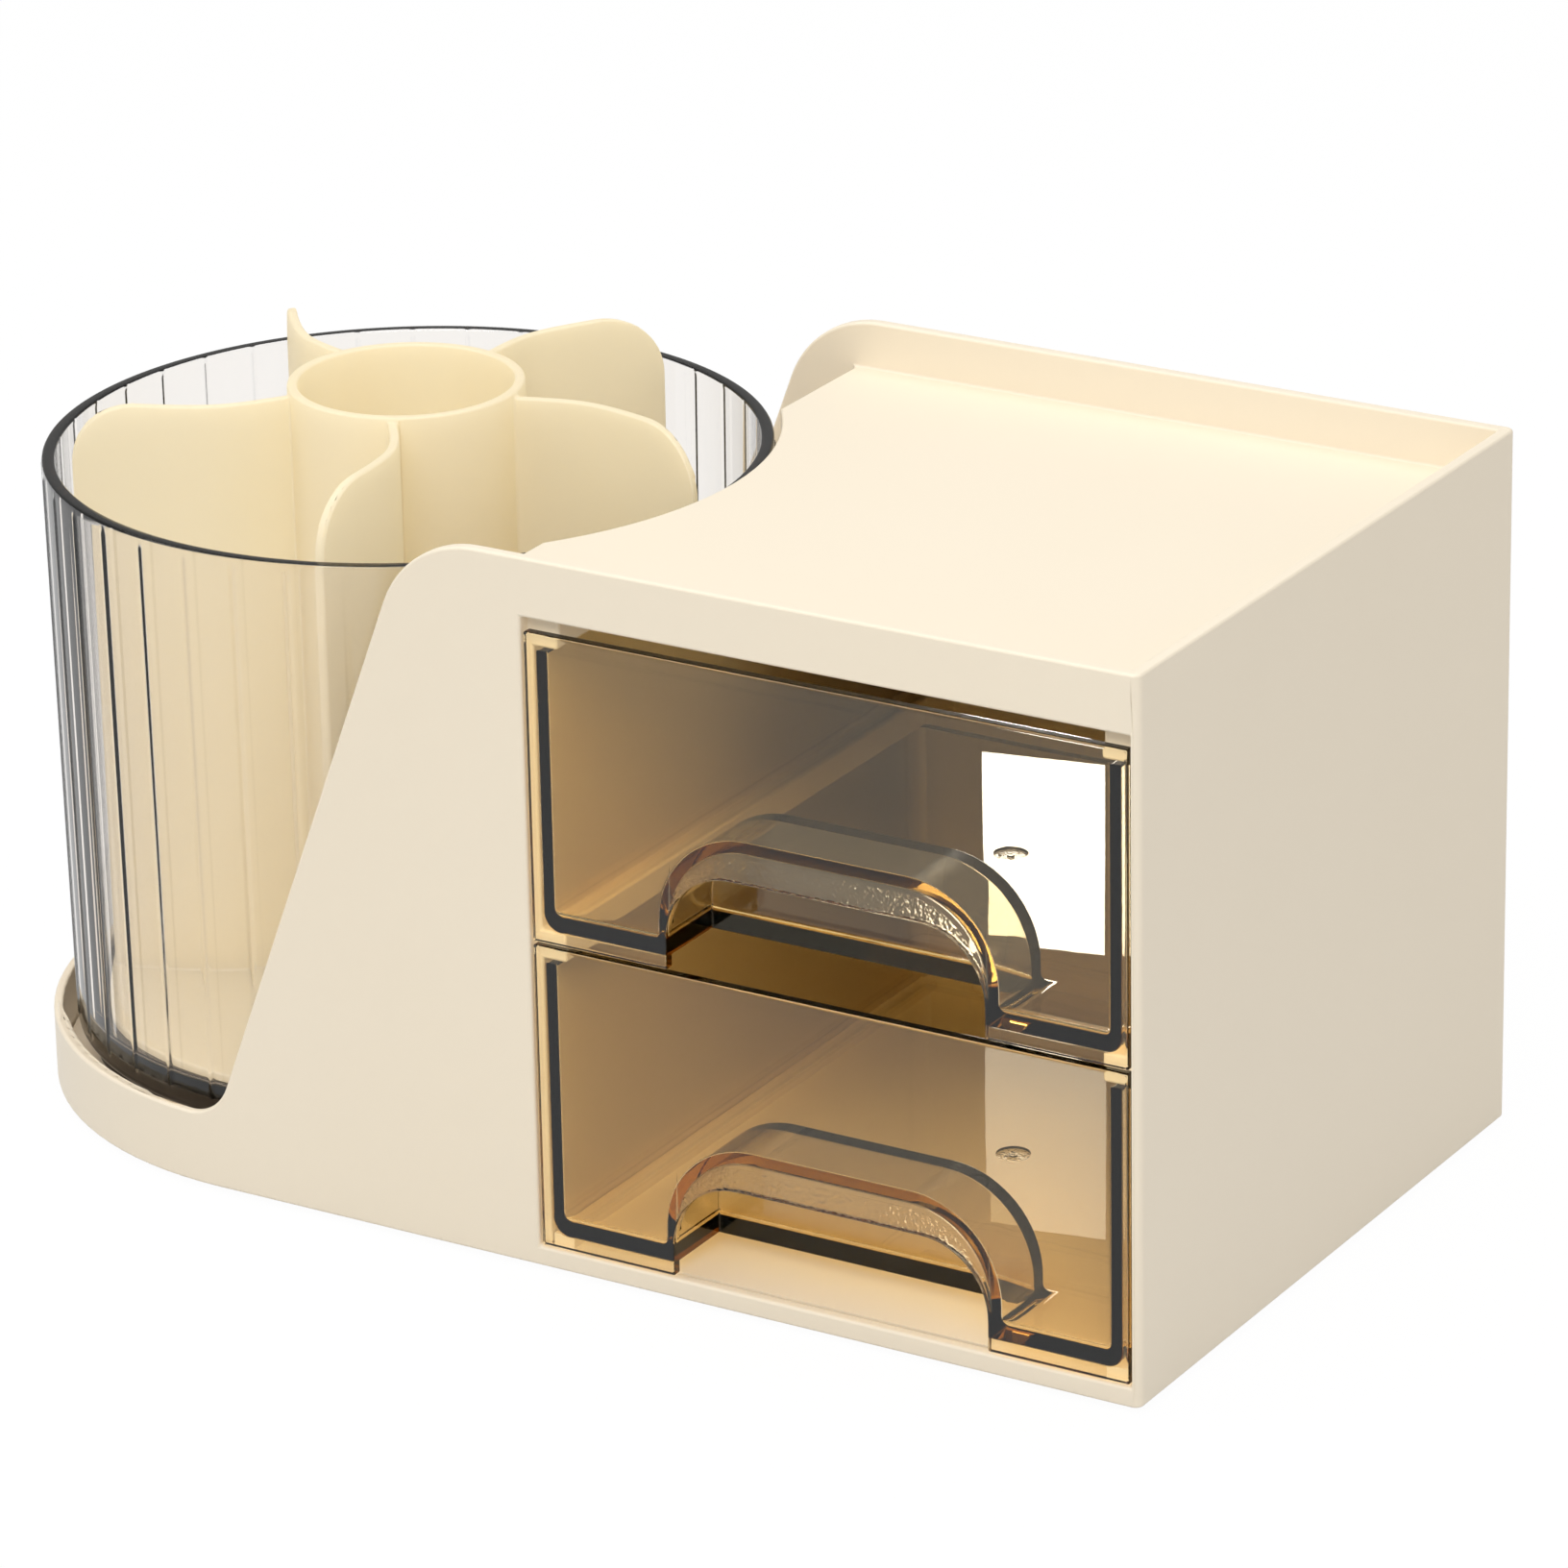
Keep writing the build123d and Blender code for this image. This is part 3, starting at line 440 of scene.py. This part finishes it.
def makeCup(look):
    depth = look["top"] - look["low"]
    floor = look["seat"] + look["wall"]
    bpy.ops.object.select_all(action="DESELECT")
    bpy.ops.mesh.primitive_cone_add(vertices=look["steps"], depth=depth,
                                    radius1=look["baseRadius"], radius2=look["rimRadius"],
                                    location=(look["axis"], 0, look["low"] + depth / 2))
    cup = bpy.context.object
    cup.name = "clearCup"
    bpy.ops.object.transform_apply(location=True, rotation=True, scale=True)
    bpy.ops.object.mode_set(mode="EDIT")
    # inside: the rim face is set in by the wall and pushed down to the floor
    selectFaces(cup, lambda place, normal: normal.z > 0.9)
    bpy.ops.mesh.inset(thickness=look["wall"])
    bpy.ops.mesh.extrude_region_move(TRANSFORM_OT_translate={"value": (0, 0, floor - look["top"])})
    shrink = (look["baseRadius"] - look["wall"] + look["floorEase"]) / (look["rimRadius"] - look["wall"])
    bpy.ops.transform.resize(value=(shrink, shrink, 1), center_override=(look["axis"], 0, floor))
    bpy.ops.mesh.bevel(offset=look["cornerRound"], segments=look["cornerSegments"], profile=0.5,
                       clamp_overlap=False)
    # under the floor: a shallow skirt
    selectFaces(cup, lambda place, normal: normal.z < -0.9)
    bpy.ops.mesh.inset(thickness=look["wall"])
    bpy.ops.mesh.extrude_region_move(TRANSFORM_OT_translate={"value": (0, 0, look["seat"] - look["low"])})
    # rings for the ends of the ribs
    rings = [look["low"] + rise for rise in look["ribLow"]] + [look["top"] - drop for drop in look["ribHigh"]]
    for height in rings:
        selectFaces(cup, lambda place, normal: abs(normal.z) < 0.1 and onOutside(place))
        bpy.ops.mesh.bisect(plane_co=(0, 0, height), plane_no=(0, 0, 1))
    # rounds of the rim and of the base
    selectFaces(cup, lambda place, normal: normal.z > 0.9 and place.z > look["top"] - look["sameHeight"])
    bpy.ops.mesh.select_mode(type="EDGE")
    bpy.ops.mesh.region_to_loop()
    bpy.ops.mesh.bevel(offset=look["rimRound"], segments=look["rimSegments"], profile=0.5,
                       clamp_overlap=False)
    selectPoints(cup, lambda place: place.z < look["low"] + look["sameHeight"] and onOutside(place))
    bpy.ops.mesh.select_mode(type="EDGE")
    bpy.ops.mesh.bevel(offset=look["baseRound"], segments=look["baseSegments"], profile=0.5,
                       clamp_overlap=False)
    # ribs: rows of points between the two inner rings are drawn outwards
    lowEnd, highEnd = rings[1] - look["sameHeight"], rings[2] + look["sameHeight"]
    for step, height in enumerate(look["ribShape"]):
        selectPoints(cup, lambda place: lowEnd < place.z < highEnd and onOutside(place)
                     and ribOffset(place) == step)
        grow = 1 + height / look["baseRadius"]
        bpy.ops.transform.resize(value=(grow, grow, 1), center_override=(look["axis"], 0, 0))
    bpy.ops.mesh.select_all(action="SELECT")
    bpy.ops.mesh.normals_make_consistent(inside=False)
    bpy.ops.object.mode_set(mode="OBJECT")
    bpy.ops.object.shade_smooth_by_angle(angle=radians(look["smoothAngle"]))
    return cup


cup = makeCup(cupLook)
standFor(cup, "pen_cup", "cup", "clear_cup")
print("cup made")

# floor and world: both white to the camera, and through the clear pieces
def seenBy(tree, rays):
    # 1 for the kinds of ray that are named, 0 for all others
    path = addNode(tree, "ShaderNodeLightPath", (-600, 300))
    seen = path.outputs[rays[0]]
    for ray in rays[1:]:
        seen = reckon(tree, "MAXIMUM", seen, path.outputs[ray])
    return seen


floorLook = {"side": 12, "colour": (0.65, 0.65, 0.65), "ownWhite": 0.95, "white": 1.02}
bpy.ops.object.select_all(action="DESELECT")
bpy.ops.mesh.primitive_plane_add(size=floorLook["side"], location=(0, 0, 0))
floor = bpy.context.object
floor.name = "floor"
material, tree, output = newMaterial("floorWhite")
bounce = addNode(tree, "ShaderNodeBsdfDiffuse", (0, 100), Color=(*floorLook["colour"], 1))
glow = addNode(tree, "ShaderNodeEmission", (0, -100), Strength=floorLook["white"])
seen = seenBy(tree, ("Is Camera Ray", "Is Glossy Ray", "Is Transmission Ray"))
mix = addNode(tree, "ShaderNodeMixShader", (300, 0))
tree.links.new(reckon(tree, "MULTIPLY", seen, floorLook["ownWhite"]), mix.inputs["Fac"])
tree.links.new(bounce.outputs["BSDF"], mix.inputs[1])
tree.links.new(glow.outputs["Emission"], mix.inputs[2])
tree.links.new(mix.outputs["Shader"], output.inputs["Surface"])
floor.data.materials.append(material)

worldLook = {"soft": 0.42, "softColour": (1, 0.985, 0.965), "white": 1.0, "whiteColour": (1, 1, 1)}
world = bpy.data.worlds.new("studio")
world.use_nodes = True
bpy.context.scene.world = world
tree = world.node_tree
tree.nodes.clear()
output = tree.nodes.new("ShaderNodeOutputWorld")
soft = addNode(tree, "ShaderNodeBackground", (0, 100),
               Strength=worldLook["soft"], Color=(*worldLook["softColour"], 1))
white = addNode(tree, "ShaderNodeBackground", (0, -100),
                Strength=worldLook["white"], Color=(*worldLook["whiteColour"], 1))
mix = addNode(tree, "ShaderNodeMixShader", (300, 0))
tree.links.new(seenBy(tree, ("Is Camera Ray", "Is Transmission Ray")), mix.inputs["Fac"])
tree.links.new(soft.outputs["Background"], mix.inputs[1])
tree.links.new(white.outputs["Background"], mix.inputs[2])
tree.links.new(mix.outputs["Shader"], output.inputs["Surface"])
print("floor and world made")


# lamps
def addSoftbox(name, look):
    lamp = bpy.data.lights.new(name, "AREA")
    lamp.shape = "RECTANGLE"
    lamp.size, lamp.size_y = look["size"]
    lamp.energy = look["power"]
    lamp.color = look["colour"]
    box = bpy.data.objects.new(name, lamp)
    bpy.context.scene.collection.objects.link(box)
    box.location = look["location"]
    direction = (Vector(look["aim"]) - Vector(look["location"])).normalized()
    box.rotation_euler = direction.to_track_quat("-Z", "Y").to_euler()
    box.visible_camera = False
    return box


softboxes = {
    "softboxAbove": dict(location=(-0.1, 0.2, 1.4), aim=(0, 0, 0), size=(1.0, 1.0),
                         power=6.6, colour=(1, 0.995, 1.0)),
    "softboxFront": dict(location=(0.42, -1.0, 1.15), aim=(0, 0, 0.05), size=(1.0, 0.8),
                         power=10.8, colour=(1, 0.985, 0.97)),
    "softboxLeft": dict(location=(-0.9, -0.5, 1.1), aim=(-0.05, 0, 0.05), size=(0.8, 0.8),
                        power=4.0, colour=(1, 0.985, 0.96)),
    "softboxRight": dict(location=(1.4, 0.1, 0.5), aim=(0, 0, 0.05), size=(0.7, 0.7),
                         power=1.7, colour=(1, 0.94, 0.88)),
}
for name, look in softboxes.items():
    addSoftbox(name, look)
# a small strip at the back of each drawer, which only shows as a shine on the drawer's floor
shineLook = {"aside": 0.0276, "fromBack": 0.0052, "rise": 0.025, "aimAside": 0.0484, "aimFromFront": 0.004,
             "size": (0.0196, 0.0312), "spread": 84}
shines = {
    "shineUpper": dict(box=upperBox, power=0.016, colour=(1, 0.985, 0.975)),
    "shineLower": dict(box=lowerBox, power=0.0024, colour=(1, 0.94, 0.86)),
}
for name, shine in shines.items():
    boxLow, boxHigh = shine["box"]
    height = boxLow[2] + shineLook["rise"]
    place = (boxLow[0] + shineLook["aside"], boxHigh[1] - shineLook["fromBack"], height)
    aim = (boxLow[0] + shineLook["aimAside"], boxLow[1] + shineLook["aimFromFront"], height)
    strip = addSoftbox(name, dict(location=place, aim=aim, size=shineLook["size"],
                                  power=shine["power"], colour=shine["colour"]))
    strip.data.spread = radians(shineLook["spread"])
    strip.visible_diffuse = False
    strip.visible_transmission = False
    strip.visible_volume_scatter = False
print("lamps made")
